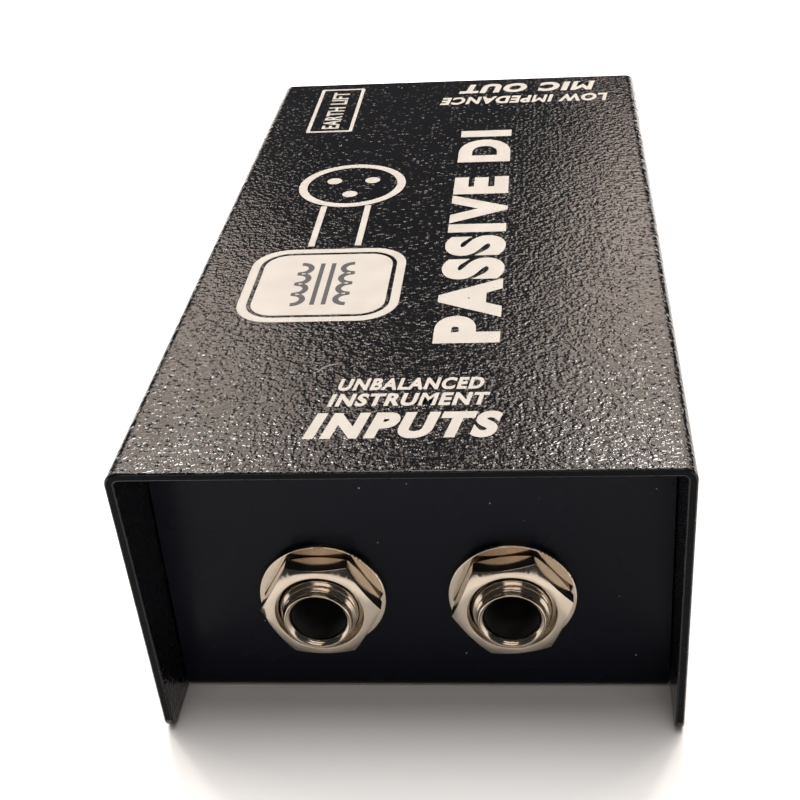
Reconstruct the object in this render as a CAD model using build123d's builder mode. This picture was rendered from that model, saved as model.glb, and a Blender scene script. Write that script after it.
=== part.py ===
"""Passive direct injection box: a folded steel case with two quarter-inch jacks at one end,
a three-pin output connector and a ground-lift slide switch at the other, and a transformer inside.

Millimetres. X runs across the box, Y along it with the jack end at -Y, and Z up. The origin is on the
resting plane, under the middle of the box.
"""
from build123d import *
import math
import os

os.makedirs("parts", exist_ok=True)

# --- Case: folded steel cover over a folded steel tray ---
BOX_W = 63.5
BOX_L = 124.5
BOX_H = 40.6
COVER_T = 1.1
COVER_BEND_R = 1.7
FLANGE_RAKE = 3.0  # the cover's sides are this much shorter at the bottom, at each end
FLANGE_CORNER_R = 2.0
OVERHANG = 10.5  # from the cover's end to the face of the end panel
COVER_EDGE_R = 0.25
FIT_GAP = 0.15  # between cover and tray
TRAY_T = 1.2
TRAY_BEND_R = 1.6
TRAY_CORNER_R = 1.5
TRAY_CORNER_DEPTH = 3.6
PANEL_TOP_R = 0.8  # clears the inside of the cover's bends

TRAY_W = BOX_W - 2 * (COVER_T + FIT_GAP)
TRAY_H = BOX_H - COVER_T - FIT_GAP
PANEL_Y = BOX_L / 2 - OVERHANG  # outer face of each end panel

# --- Side tabs and the screws that hold the cover ---
TAB_Y = 36.0
TAB_W = 14.0
TAB_H = 13.0
TAB_NOTCH = 1.2
SCREW_Z = 8.0
SCREW_HOLE_R = 1.7
SHANK_R = 1.45
SHANK_L = 5.0
THREAD_GAP = 0.05
PAN_R = 2.8
PAN_H = 1.9
PAN_EDGE_R = 1.0
CROSS_L = 3.0
CROSS_W = 0.7
CROSS_DEPTH = 1.1

# --- Jacks: one each side of the middle of the -Y panel ---
JACK_X = {"left": -11.5, "right": 11.5}
JACK_Z = 15.5
BUSH_R = 4.7
BUSH_NOSE_R = 4.05
BUSH_NOSE_L = 1.3
BUSH_PROUD = 5.3
BUSH_LIP_R = 0.3
JACK_BORE_R = 3.25
JACK_HOLE_R = 4.9
WASHER_R = 7.75
WASHER_T = 0.8
NUT_FLATS = 12.7
NUT_T = 3.0
NUT_FACE = 0.95  # radius of a nut's turned face, as a share of half its flats
NUT_CONE = 30.0
NUT_COUNTERSINK = 1.13  # radius of the hole's mouth, as a share of the hole's
NUT_TURN = {"left": 0.0, "right": 8.0}
JACK_PLATE_W = 14.0
JACK_PLATE_T = 1.2
JACK_PLATE_DROP = 7.0
ARM_INNER = 7.4  # from the jack's axis to the arm's underside
ARM_W = 11.0
STACK_Y = 7.4  # from the panel's inner face to the rivet
ARM_END = 3.0  # arm beyond the rivet
STACK_R = 2.6
LUG_T = 0.4
INSULATOR_T = 0.6
SPRING_T = 0.4
SPRING_W = 4.6
SPRING_PLAY = 0.35  # room for the spring to rock between its washers
RIVET_R = 0.8
RIVET_HEAD_R = 1.5
RIVET_HEAD_T = 0.6
SLEEVE_R = 1.2
SLEEVE_GAP = 0.05
TIP_TAB_L = 3.6
TIP_TAB_W = 2.4
SLEEVE_TAB_L = 7.4
SLEEVE_TAB_W = 4.2
TIP_CONTACT_R = 2.0  # from the jack's axis to the spring's bend, with no plug in
TIP_REACH = 12.2  # from the rivet to the spring's bend
SPRING_BEND_R = 1.2

# --- Output connector in the +Y panel ---
XLR_X = 12.0
REAR_Z = 20.3
XLR_FLANGE_W = 26.0
XLR_FLANGE_H = 31.0
XLR_FLANGE_T = 2.0
XLR_FLANGE_R = 3.0
XLR_RIM_R = 11.6
XLR_RIM_T = 3.5
XLR_BARREL_R = 11.4
XLR_BORE_R = 9.55
XLR_DEPTH = 14.0
XLR_BACK = 19.0
XLR_HOLE_R = 11.9
XLR_SCREW_X = 9.5
XLR_SCREW_Z = 12.0
XLR_KEY_W = 2.2
XLR_KEY_DEPTH = 0.8
PIN_R = 1.2
PIN_CIRCLE_R = 4.4
PIN_ANGLES = {1: 30.0, 2: 150.0, 3: 270.0}  # seen from outside, from the local +X side
PIN_END = 0.6
PIN_TIP_R = 0.8
CUP_R = 1.35
CUP_L = 5.0
CUP_BORE_R = 0.85
CUP_BORE_L = 3.0
CSK_HEAD_R = 2.75
CSK_SHANK_R = 1.45
CSK_HOLE_R = 1.6
CSK_L = 8.0
M3_NUT_FLATS = 5.5
M3_NUT_T = 2.4

# --- Slide switch in the +Y panel ---
SWITCH_X = -21.0
SWITCH_TRAVEL = 4.5
SWITCH_PLATE_W = 12.0
SWITCH_PLATE_H = 30.0
SWITCH_PLATE_T = 0.8
SWITCH_CAN_H = 18.0
SWITCH_CAN_DEPTH = 7.0
SWITCH_CAN_T = 0.6
SWITCH_SCREW_Z = 12.0
SWITCH_SCREW_R = 1.2
SWITCH_SCREW_HEAD_R = 2.2
SWITCH_SCREW_L = 4.5
KNOB_W = 4.6
KNOB_H = 5.5
KNOB_PROUD = 4.0
KNOB_GROOVE = 0.5
SLIDE_GAP = 0.15
WINDOW_GAP = 0.3
CARRIAGE_T = 1.7
WIPER_T = 0.3
WIPER_W = 3.0
WIPER_L = 7.0
TERMINAL_PITCH = 4.5
TERMINAL_W = 2.0
TERMINAL_T = 0.6
TERMINAL_TAIL = 4.0
TERMINAL_HEAD_R = 1.3
TERMINAL_HEAD_T = 0.3
BOARD_T = 1.5

# --- Transformer on the tray's floor ---
CORE_W = 28.0
CORE_H = 24.0
CORE_T = 12.0
CORE_LEG = 8.0
CORE_YOKE = 4.0
CORE_LIFT = 0.4
BOBBIN_WALL = 0.7
BOBBIN_FLANGE_T = 0.8
BOBBIN_FLANGE_W = 19.6
BOBBIN_FLANGE_L = 24.0
COIL_W = 19.0
COIL_L = 23.0
COIL_R = 2.0
PART_GAP = 0.1
BRACKET_T = 0.8
BRACKET_FOOT = 7.5
STUD_R = 1.45
STUD_L = 5.0
STUD_HEAD_R = 2.4

# --- Hookup leads ---
LEAD_R = 0.65

PANEL_INNER = PANEL_Y - TRAY_T
STACK_POS_Y = -PANEL_INNER + STACK_Y
ARM_TOP = JACK_Z + ARM_INNER + JACK_PLATE_T
SLEEVE_LUG_TOP = ARM_TOP + LUG_T
SPRING_MID = SLEEVE_LUG_TOP + INSULATOR_T + SPRING_PLAY + SPRING_T / 2
TIP_LUG_BOTTOM = SPRING_MID + SPRING_T / 2 + SPRING_PLAY
TIP_LUG_TOP = TIP_LUG_BOTTOM + LUG_T
STACK_TOP = TIP_LUG_TOP + INSULATOR_T
CORE_BOTTOM = TRAY_T + CORE_LIFT
CORE_TOP = CORE_BOTTOM + CORE_H
CORE_MID = CORE_BOTTOM + CORE_H / 2
STUD_X = CORE_W / 2 + BRACKET_T + BRACKET_FOOT / 2
CUP_END_Y = PANEL_Y - XLR_BACK - CUP_L
TERMINAL_END_Y = PANEL_INNER - SWITCH_CAN_DEPTH - TERMINAL_TAIL


def keep(part, node):
    """Label a finished piece and write it as its own file."""
    part.label = node
    export_step(part, f"parts/{node}.step")


def front_plane(x, z, depth=0.0):
    """A plane on the -Y panel's outer face that looks out of the box; its own +Y is up."""
    return Plane(origin=(x, -PANEL_Y + depth, z), x_dir=(1, 0, 0), z_dir=(0, -1, 0))


def rear_plane(x, z, depth=0.0):
    """A plane on the +Y panel's outer face that looks out of the box; its own +Y is up."""
    return Plane(origin=(x, PANEL_Y - depth, z), x_dir=(-1, 0, 0), z_dir=(0, 1, 0))


def tube(plane, outer_r, inner_r, start, end):
    """A round tube (or a rod, where inner_r is 0) along a plane's normal, between two distances."""
    with BuildPart() as ring:
        with BuildSketch(plane.offset(start)):
            Circle(outer_r)
            if inner_r:
                Circle(inner_r, mode=Mode.SUBTRACT)
        extrude(amount=end - start)
    return ring.part


def cone(plane, top_r, bottom_r, depth):
    """A cone that narrows from the plane down to bottom_r, as under a flat screw head."""
    with BuildPart() as taper:
        with BuildSketch(plane):
            Circle(top_r)
        with BuildSketch(plane.offset(-depth)):
            Circle(bottom_r)
        loft()
    return taper.part


def hex_nut(plane, flats, thickness, hole_r, turn=0):
    """A hex nut that starts on the plane, with both faces turned to a cone and both mouths countersunk."""
    corner_r = flats / 2 / math.cos(math.pi / 6)
    face_r = flats / 2 * NUT_FACE
    mouth_r = hole_r * NUT_COUNTERSINK
    slope = (corner_r - face_r) * math.tan(math.radians(NUT_CONE))
    far_side = plane.offset(thickness)
    with BuildPart() as blank:
        add(cone(plane.offset(slope), corner_r, face_r, slope))
        add(tube(plane, corner_r, 0, slope, thickness - slope))
        add(cone(far_side, face_r, corner_r, slope))
    with BuildPart() as nut:
        with BuildSketch(plane):
            RegularPolygon(radius=flats / 2, side_count=6, major_radius=False, rotation=turn)
            Circle(hole_r, mode=Mode.SUBTRACT)
        extrude(amount=thickness)
        add(blank.part, mode=Mode.INTERSECT)
        add(cone(far_side, mouth_r, hole_r, mouth_r - hole_r), mode=Mode.SUBTRACT)
        add(cone(plane.offset(mouth_r - hole_r), hole_r, mouth_r, mouth_r - hole_r), mode=Mode.SUBTRACT)
    return nut.part


def cross_slot(plane, head_r):
    """The shape of the driver's cross, for a head that faces out of the plane."""
    with BuildPart() as cross:
        with BuildSketch(plane):
            Rectangle(head_r * CROSS_L / PAN_R, CROSS_W)
            Rectangle(CROSS_W, head_r * CROSS_L / PAN_R)
        extrude(amount=-CROSS_DEPTH)
    return cross.part


def countersunk_screw(plane, head_r, shank_r, length):
    """A flat-head screw whose head is flush with the plane, with a cross slot."""
    with BuildPart() as screw:
        add(cone(plane, head_r, shank_r, head_r - shank_r))
        add(tube(plane, shank_r, 0, -length, shank_r - head_r))
        add(cross_slot(plane, head_r), mode=Mode.SUBTRACT)
    return screw.part


def make_cover():
    """The folded cover: a U of sheet whose sides reach the table and lean back at both ends."""
    with BuildPart() as cover:
        with BuildSketch(Plane.XZ):
            with Locations((0, BOX_H / 2)):
                outer = Rectangle(BOX_W, BOX_H)
            fillet(outer.vertices().group_by(Axis.Y)[-1], COVER_BEND_R)
            with Locations((0, (BOX_H - COVER_T) / 2)):
                Rectangle(BOX_W - 2 * COVER_T, BOX_H - COVER_T, mode=Mode.SUBTRACT)
        extrude(amount=BOX_L / 2, both=True)
        inside_bends = cover.edges().filter_by(Axis.Y).filter_by(
            lambda e: abs(e.center().Z - BOX_H + COVER_T) < FIT_GAP)
        fillet(inside_bends, COVER_BEND_R - COVER_T)
        with BuildSketch(Plane.YZ):
            with BuildLine():
                Polyline(
                    (-BOX_L / 2, BOX_H),
                    (BOX_L / 2, BOX_H),
                    (BOX_L / 2 - FLANGE_RAKE, 0),
                    (-BOX_L / 2 + FLANGE_RAKE, 0),
                    close=True,
                )
            side = make_face()
            fillet(side.vertices().group_by(Axis.Y)[0], FLANGE_CORNER_R)
        extrude(amount=BOX_W, both=True, mode=Mode.INTERSECT)
        # The rounding runs on past the corners, along the bottom edges and round the far end.
        fillet(cover.faces().sort_by(Axis.Y)[0].edges(), COVER_EDGE_R)
        with BuildSketch(Plane.YZ):
            with Locations((-TAB_Y, SCREW_Z), (TAB_Y, SCREW_Z)):
                Circle(SCREW_HOLE_R)
        extrude(amount=BOX_W, both=True, mode=Mode.SUBTRACT)
    keep(cover.part, "top_cover")


def make_tray():
    """The folded tray: a floor, two end panels and four side tabs with tapped holes."""
    inside_w = TRAY_W / 2 - TRAY_CORNER_R
    with BuildPart() as tray:
        with BuildSketch(Plane.YZ):
            with Locations((0, TRAY_H / 2)):
                outer = Rectangle(2 * PANEL_Y, TRAY_H)
            fillet(outer.vertices().group_by(Axis.Y)[0], TRAY_BEND_R)
            with Locations((0, TRAY_T + TRAY_H / 2)):
                Rectangle(2 * PANEL_INNER, TRAY_H, mode=Mode.SUBTRACT)
        extrude(amount=TRAY_W / 2, both=True)
        fillet(tray.edges().filter_by(Axis.Y).group_by(Axis.Z)[-1], PANEL_TOP_R)

        # Rounded lower corners of both end panels, at the ends of the bends.
        for end in (-1, 1):
            with BuildSketch(Plane.XZ.offset(-end * PANEL_Y)):
                for side in (-1, 1):
                    with Locations((side * (inside_w + TRAY_CORNER_R / 2), TRAY_CORNER_R / 2)):
                        Rectangle(TRAY_CORNER_R, TRAY_CORNER_R)
                    with Locations((side * inside_w, TRAY_CORNER_R)):
                        Circle(TRAY_CORNER_R, mode=Mode.SUBTRACT)
            extrude(amount=end * TRAY_CORNER_DEPTH, mode=Mode.SUBTRACT)

        # Side tabs, each folded up between two relief notches.
        for side in (-1, 1):
            for end in (-1, 1):
                with Locations((side * (TRAY_W - TRAY_T) / 2, end * TAB_Y, TAB_H / 2)):
                    Box(TRAY_T, TAB_W, TAB_H)
                notch_x = side * (TRAY_W / 2 - TRAY_T)
                notch_y = (TAB_W + TAB_NOTCH) / 2
                for notch in (-1, 1):
                    with Locations((notch_x, end * TAB_Y + notch * notch_y, TRAY_T / 2)):
                        Box(2 * TRAY_T, TAB_NOTCH, TRAY_T, mode=Mode.SUBTRACT)
        with BuildSketch(Plane.YZ):
            with Locations((-TAB_Y, SCREW_Z), (TAB_Y, SCREW_Z)):
                Circle(SHANK_R + THREAD_GAP)
        extrude(amount=TRAY_W, both=True, mode=Mode.SUBTRACT)

        # Jack holes.
        with BuildSketch(front_plane(0, 0)):
            with Locations([(x, JACK_Z) for x in JACK_X.values()]):
                Circle(JACK_HOLE_R)
        extrude(amount=-TRAY_T, mode=Mode.SUBTRACT)

        # Output connector and switch holes.
        with BuildSketch(rear_plane(XLR_X, REAR_Z)):
            Circle(XLR_HOLE_R)
            with Locations((-XLR_SCREW_X, XLR_SCREW_Z), (XLR_SCREW_X, -XLR_SCREW_Z)):
                Circle(CSK_HOLE_R)
        extrude(amount=-TRAY_T, mode=Mode.SUBTRACT)
        with BuildSketch(rear_plane(SWITCH_X, REAR_Z)):
            RectangleRounded(KNOB_W + 2 * WINDOW_GAP, KNOB_H + SWITCH_TRAVEL + 2 * WINDOW_GAP, WINDOW_GAP)
        extrude(amount=-TRAY_T, mode=Mode.SUBTRACT)
        for level in (-SWITCH_SCREW_Z, SWITCH_SCREW_Z):
            hole_plane = rear_plane(SWITCH_X, REAR_Z + level)
            countersink = cone(hole_plane, SWITCH_SCREW_HEAD_R + THREAD_GAP, SWITCH_SCREW_R + THREAD_GAP,
                               SWITCH_SCREW_HEAD_R - SWITCH_SCREW_R)
            add(countersink, mode=Mode.SUBTRACT)
            with BuildSketch(hole_plane):
                Circle(SWITCH_SCREW_R + THREAD_GAP)
            extrude(amount=-TRAY_T, mode=Mode.SUBTRACT)

        # Stud holes under the transformer's feet, with a flush seat for each stud's head.
        with BuildSketch(Plane.XY):
            with Locations((-STUD_X, 0), (STUD_X, 0)):
                Circle(STUD_R + THREAD_GAP)
        extrude(amount=TRAY_T, mode=Mode.SUBTRACT)
        with BuildSketch(Plane.XY):
            with Locations((-STUD_X, 0), (STUD_X, 0)):
                Circle(STUD_HEAD_R + THREAD_GAP)
        extrude(amount=TRAY_T / 2, mode=Mode.SUBTRACT)
    keep(tray.part, "base_chassis")


def make_cover_screws():
    """Four pan-head screws through the cover's sides into the tray's tabs."""
    with BuildPart() as screws:
        for side in (-1, 1):
            for end in (-1, 1):
                seat = Plane(origin=(side * BOX_W / 2, end * TAB_Y, SCREW_Z), x_dir=(0, 1, 0),
                             z_dir=(side, 0, 0))
                with BuildSketch(seat):
                    Circle(PAN_R)
                head = extrude(amount=PAN_H)
                rim = head.edges().filter_by(GeomType.CIRCLE).sort_by(Axis.X)[-1 if side > 0 else 0]
                fillet(rim, PAN_EDGE_R)
                add(tube(seat, SHANK_R, 0, -SHANK_L, 0))
                add(cross_slot(seat.offset(PAN_H), PAN_R), mode=Mode.SUBTRACT)
    keep(screws.part, "cover_screws")


def make_jack(side):
    """One quarter-inch jack: bushing and frame, spring, lugs, washers, rivet, and the nut outside."""
    x = JACK_X[side]
    face = front_plane(x, JACK_Z)
    inner = -TRAY_T
    plate_back = inner - JACK_PLATE_T
    arm_back = inner - STACK_Y - ARM_END

    with BuildPart() as frame:
        with BuildSketch(face.offset(inner)):
            with Locations((0, (ARM_INNER + JACK_PLATE_T - JACK_PLATE_DROP) / 2)):
                RectangleRounded(JACK_PLATE_W, ARM_INNER + JACK_PLATE_T + JACK_PLATE_DROP, JACK_PLATE_T)
        extrude(amount=-JACK_PLATE_T)
        with BuildSketch(face.offset(inner)):
            with Locations((0, ARM_INNER + JACK_PLATE_T / 2)):
                Rectangle(ARM_W, JACK_PLATE_T)
        extrude(amount=arm_back - inner)
        add(tube(face, BUSH_R, 0, inner, BUSH_PROUD - BUSH_NOSE_L))
        add(tube(face, BUSH_NOSE_R, 0, BUSH_PROUD - BUSH_NOSE_L, BUSH_PROUD))
        with BuildSketch(face.offset(plate_back)):
            Circle(JACK_BORE_R)
        extrude(amount=BUSH_PROUD - plate_back, mode=Mode.SUBTRACT)
        nose = frame.edges().filter_by(GeomType.CIRCLE).group_by(Axis.Y)[0]
        fillet(nose, BUSH_LIP_R)
        with BuildSketch(Plane.XY.offset(ARM_TOP)):
            with Locations((x, STACK_POS_Y)):
                Circle(RIVET_R + SLEEVE_GAP)
        extrude(amount=-JACK_PLATE_T, mode=Mode.SUBTRACT)
    keep(frame.part, f"jack_{side}_frame")

    with BuildPart() as sleeve_lug:
        toward_middle = -1 if x > 0 else 1
        with BuildSketch(Plane.XY.offset(ARM_TOP)):
            with Locations((x, STACK_POS_Y)):
                Circle(STACK_R)
            with Locations((x + toward_middle * (STACK_R + SLEEVE_TAB_L) / 2, STACK_POS_Y)):
                Rectangle(STACK_R + SLEEVE_TAB_L, SLEEVE_TAB_W)
            with Locations((x, STACK_POS_Y)):
                Circle(RIVET_R + SLEEVE_GAP, mode=Mode.SUBTRACT)
        extrude(amount=LUG_T)
    keep(sleeve_lug.part, f"jack_{side}_sleeve_lug")

    with BuildPart() as insulators:
        base = Plane(origin=(x, STACK_POS_Y, SLEEVE_LUG_TOP))
        add(tube(base, STACK_R, RIVET_R + SLEEVE_GAP, 0, INSULATOR_T))
        add(tube(base, SLEEVE_R, RIVET_R + SLEEVE_GAP, 0, TIP_LUG_TOP - SLEEVE_LUG_TOP))
        add(tube(base, STACK_R, RIVET_R + SLEEVE_GAP, TIP_LUG_TOP - SLEEVE_LUG_TOP,
                 STACK_TOP - SLEEVE_LUG_TOP))
    keep(insulators.part, f"jack_{side}_insulators")

    with BuildPart() as tip_lug:
        with BuildSketch(Plane.XY.offset(TIP_LUG_BOTTOM)):
            with Locations((x, STACK_POS_Y)):
                Circle(STACK_R)
            with Locations((x, STACK_POS_Y - (STACK_R + TIP_TAB_L) / 2)):
                Rectangle(TIP_TAB_W, STACK_R + TIP_TAB_L)
            with Locations((x, STACK_POS_Y)):
                Circle(SLEEVE_R + SLEEVE_GAP, mode=Mode.SUBTRACT)
        extrude(amount=LUG_T)
    keep(tip_lug.part, f"jack_{side}_tip_lug")

    with BuildPart() as spring:
        bend_z = JACK_Z + TIP_CONTACT_R
        bend_y = STACK_POS_Y + TIP_REACH
        drop = SPRING_MID - bend_z
        with BuildSketch(Plane.YZ.offset(x)):
            with BuildLine():
                FilletPolyline(
                    (STACK_POS_Y - STACK_R, SPRING_MID),
                    (bend_y - drop, SPRING_MID),
                    (bend_y, bend_z),
                    (bend_y + drop / 2, bend_z + drop / 3),
                    radius=SPRING_BEND_R,
                )
            trace(line_width=SPRING_T)
        extrude(amount=SPRING_W / 2, both=True)
        with BuildSketch(Plane.XY.offset(SPRING_MID - SPRING_T)):
            with Locations((x, STACK_POS_Y)):
                Circle(SLEEVE_R + SPRING_PLAY)
        extrude(amount=2 * SPRING_T, mode=Mode.SUBTRACT)
    keep(spring.part, f"jack_{side}_tip_spring")

    with BuildPart() as rivet:
        foot = Plane(origin=(x, STACK_POS_Y, ARM_TOP - JACK_PLATE_T))
        stack = STACK_TOP - ARM_TOP + JACK_PLATE_T
        add(tube(foot, RIVET_R, 0, -RIVET_HEAD_T, stack + RIVET_HEAD_T))
        add(tube(foot, RIVET_HEAD_R, 0, -RIVET_HEAD_T, 0))
        add(tube(foot, RIVET_HEAD_R, 0, stack, stack + RIVET_HEAD_T))
    keep(rivet.part, f"jack_{side}_rivet")

    with BuildPart() as washer:
        add(tube(face, WASHER_R, JACK_HOLE_R, 0, WASHER_T))
        fillet(washer.edges().filter_by(GeomType.CIRCLE).group_by(Axis.Y)[0], WASHER_T / 4)
    keep(washer.part, f"jack_{side}_washer")

    with BuildPart() as nut:
        add(hex_nut(face.offset(WASHER_T), NUT_FLATS, NUT_T, BUSH_R + THREAD_GAP, NUT_TURN[side]))
    keep(nut.part, f"jack_{side}_nut")


def make_output_connector():
    """The three-pin output: flanged shell, insert, pins, and the screws and nuts that hold it."""
    face = rear_plane(XLR_X, REAR_Z)
    screw_places = [(-XLR_SCREW_X, XLR_SCREW_Z), (XLR_SCREW_X, -XLR_SCREW_Z)]
    pin_places = [
        (PIN_CIRCLE_R * math.cos(math.radians(a)), PIN_CIRCLE_R * math.sin(math.radians(a)))
        for a in PIN_ANGLES.values()
    ]

    with BuildPart() as shell:
        with BuildSketch(face):
            RectangleRounded(XLR_FLANGE_W, XLR_FLANGE_H, XLR_FLANGE_R)
        extrude(amount=XLR_FLANGE_T)
        fillet(shell.faces().sort_by(Axis.Y)[-1].edges(), XLR_FLANGE_T / 3)
        add(tube(face, XLR_RIM_R, 0, 0, XLR_RIM_T))
        add(tube(face, XLR_BARREL_R, 0, -XLR_BACK, 0))
        with BuildSketch(face.offset(-XLR_BACK)):
            Circle(XLR_BORE_R)
        extrude(amount=XLR_BACK + XLR_RIM_T, mode=Mode.SUBTRACT)
        with BuildSketch(face.offset(-XLR_DEPTH)):
            with Locations((0, XLR_BORE_R)):
                Rectangle(XLR_KEY_W, 2 * XLR_KEY_DEPTH)
        extrude(amount=XLR_DEPTH + XLR_RIM_T, mode=Mode.SUBTRACT)
        for place in screw_places:
            seat = rear_plane(XLR_X - place[0], REAR_Z + place[1]).offset(XLR_FLANGE_T)
            countersink = cone(seat, CSK_HEAD_R + THREAD_GAP, CSK_SHANK_R + THREAD_GAP,
                               CSK_HEAD_R - CSK_SHANK_R)
            add(countersink, mode=Mode.SUBTRACT)
            with BuildSketch(seat):
                Circle(CSK_SHANK_R + THREAD_GAP)
            extrude(amount=-XLR_FLANGE_T, mode=Mode.SUBTRACT)
    keep(shell.part, "output_shell")

    with BuildPart() as insert:
        with BuildSketch(face.offset(-XLR_BACK)):
            Circle(XLR_BORE_R - THREAD_GAP)
            with Locations(pin_places):
                Circle(PIN_R + THREAD_GAP, mode=Mode.SUBTRACT)
        extrude(amount=XLR_BACK - XLR_DEPTH)
    keep(insert.part, "output_insert")

    with BuildPart() as pins:
        for place in pin_places:
            axis = rear_plane(XLR_X - place[0], REAR_Z + place[1])
            add(tube(axis, PIN_R, 0, -XLR_BACK, -PIN_END))
            add(tube(axis, CUP_R, 0, -XLR_BACK - CUP_L, -XLR_BACK))
            with BuildSketch(axis.offset(-XLR_BACK - CUP_L)):
                Circle(CUP_BORE_R)
            extrude(amount=CUP_BORE_L, mode=Mode.SUBTRACT)
        tips = pins.edges().filter_by(GeomType.CIRCLE).group_by(Axis.Y)[-1]
        fillet(tips, PIN_TIP_R)
    keep(pins.part, "output_pins")

    with BuildPart() as screws:
        for place in screw_places:
            seat = rear_plane(XLR_X - place[0], REAR_Z + place[1]).offset(XLR_FLANGE_T)
            add(countersunk_screw(seat, CSK_HEAD_R, CSK_SHANK_R, CSK_L))
    keep(screws.part, "output_screws")

    with BuildPart() as nuts:
        for place in screw_places:
            seat = rear_plane(XLR_X - place[0], REAR_Z + place[1], TRAY_T + M3_NUT_T)
            add(hex_nut(seat, M3_NUT_FLATS, M3_NUT_T, CSK_SHANK_R + THREAD_GAP))
    keep(nuts.part, "output_nuts")


def make_switch():
    """The ground-lift slide switch. The slider rests at the low end of its travel."""
    inside = rear_plane(SWITCH_X, REAR_Z, TRAY_T)  # the panel's inner face
    can_w = SWITCH_PLATE_W
    knob_low = -SWITCH_TRAVEL / 2
    slot_h = KNOB_H + SWITCH_TRAVEL + 2 * SLIDE_GAP
    inner_w = can_w - 2 * SWITCH_CAN_T
    inner_h = SWITCH_CAN_H - 2 * SWITCH_CAN_T
    carriage_h = inner_h - SWITCH_TRAVEL - 2 * SLIDE_GAP
    carriage_front = -SWITCH_PLATE_T - SLIDE_GAP
    carriage_back = carriage_front - CARRIAGE_T
    board_back = -SWITCH_CAN_DEPTH
    board_front = board_back + BOARD_T

    with BuildPart() as frame:
        with BuildSketch(inside):
            RectangleRounded(SWITCH_PLATE_W, SWITCH_PLATE_H, SWITCH_CAN_T)
        extrude(amount=-SWITCH_PLATE_T)
        with BuildSketch(inside):
            Rectangle(can_w, SWITCH_CAN_H)
        extrude(amount=-SWITCH_CAN_DEPTH)
        with BuildSketch(inside.offset(-SWITCH_PLATE_T)):
            Rectangle(inner_w, inner_h)
        extrude(amount=-SWITCH_CAN_DEPTH, mode=Mode.SUBTRACT)
        with BuildSketch(inside):
            Rectangle(KNOB_W + 2 * SLIDE_GAP, slot_h)
            with Locations((0, -SWITCH_SCREW_Z), (0, SWITCH_SCREW_Z)):
                Circle(SWITCH_SCREW_R + THREAD_GAP)
        extrude(amount=-SWITCH_PLATE_T, mode=Mode.SUBTRACT)
    keep(frame.part, "switch_frame")

    with BuildPart() as slider:
        with BuildSketch(inside.offset(carriage_back)):
            with Locations((0, knob_low)):
                Rectangle(inner_w - 2 * SLIDE_GAP, carriage_h)
        extrude(amount=CARRIAGE_T)
        with BuildSketch(inside.offset(carriage_front)):
            with Locations((0, knob_low)):
                Rectangle(KNOB_W, KNOB_H)
        extrude(amount=TRAY_T + KNOB_PROUD - carriage_front)
        with BuildSketch(inside.offset(TRAY_T + KNOB_PROUD)):
            with Locations((0, knob_low)):
                with GridLocations(0, 3 * KNOB_GROOVE, 1, 3):
                    Rectangle(KNOB_W, KNOB_GROOVE)
        extrude(amount=-KNOB_GROOVE, mode=Mode.SUBTRACT)
    keep(slider.part, "switch_slider")

    with BuildPart() as wiper:
        with BuildSketch(inside.offset(carriage_back - WIPER_T)):
            with Locations((0, knob_low)):
                Rectangle(WIPER_W, WIPER_L)
        extrude(amount=WIPER_T)
        contact_reach = board_front + TERMINAL_HEAD_T + THREAD_GAP
        with BuildSketch(inside.offset(carriage_back - WIPER_T)):
            with Locations((0, knob_low)):
                with GridLocations(0, TERMINAL_PITCH, 1, 2):
                    Rectangle(WIPER_W, 2 * WIPER_T)
        extrude(amount=contact_reach - carriage_back + WIPER_T)
    keep(wiper.part, "switch_wiper")

    with BuildPart() as board:
        with BuildSketch(inside.offset(board_back)):
            Rectangle(inner_w - PART_GAP, inner_h - PART_GAP)
            with GridLocations(0, TERMINAL_PITCH, 1, 3):
                Rectangle(TERMINAL_T + PART_GAP, TERMINAL_W + PART_GAP, mode=Mode.SUBTRACT)
        extrude(amount=BOARD_T)
    keep(board.part, "switch_terminal_board")

    with BuildPart() as terminals:
        with BuildSketch(inside.offset(board_back - TERMINAL_TAIL)):
            with GridLocations(0, TERMINAL_PITCH, 1, 3):
                Rectangle(TERMINAL_T, TERMINAL_W)
        extrude(amount=TERMINAL_TAIL + BOARD_T)
        with BuildSketch(inside.offset(board_front)):
            with GridLocations(0, TERMINAL_PITCH, 1, 3):
                Circle(TERMINAL_HEAD_R)
        extrude(amount=TERMINAL_HEAD_T)
    keep(terminals.part, "switch_terminals")

    with BuildPart() as screws:
        for level in (-SWITCH_SCREW_Z, SWITCH_SCREW_Z):
            seat = rear_plane(SWITCH_X, REAR_Z + level)
            add(countersunk_screw(seat, SWITCH_SCREW_HEAD_R, SWITCH_SCREW_R, SWITCH_SCREW_L))
    keep(screws.part, "switch_screws")


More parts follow.
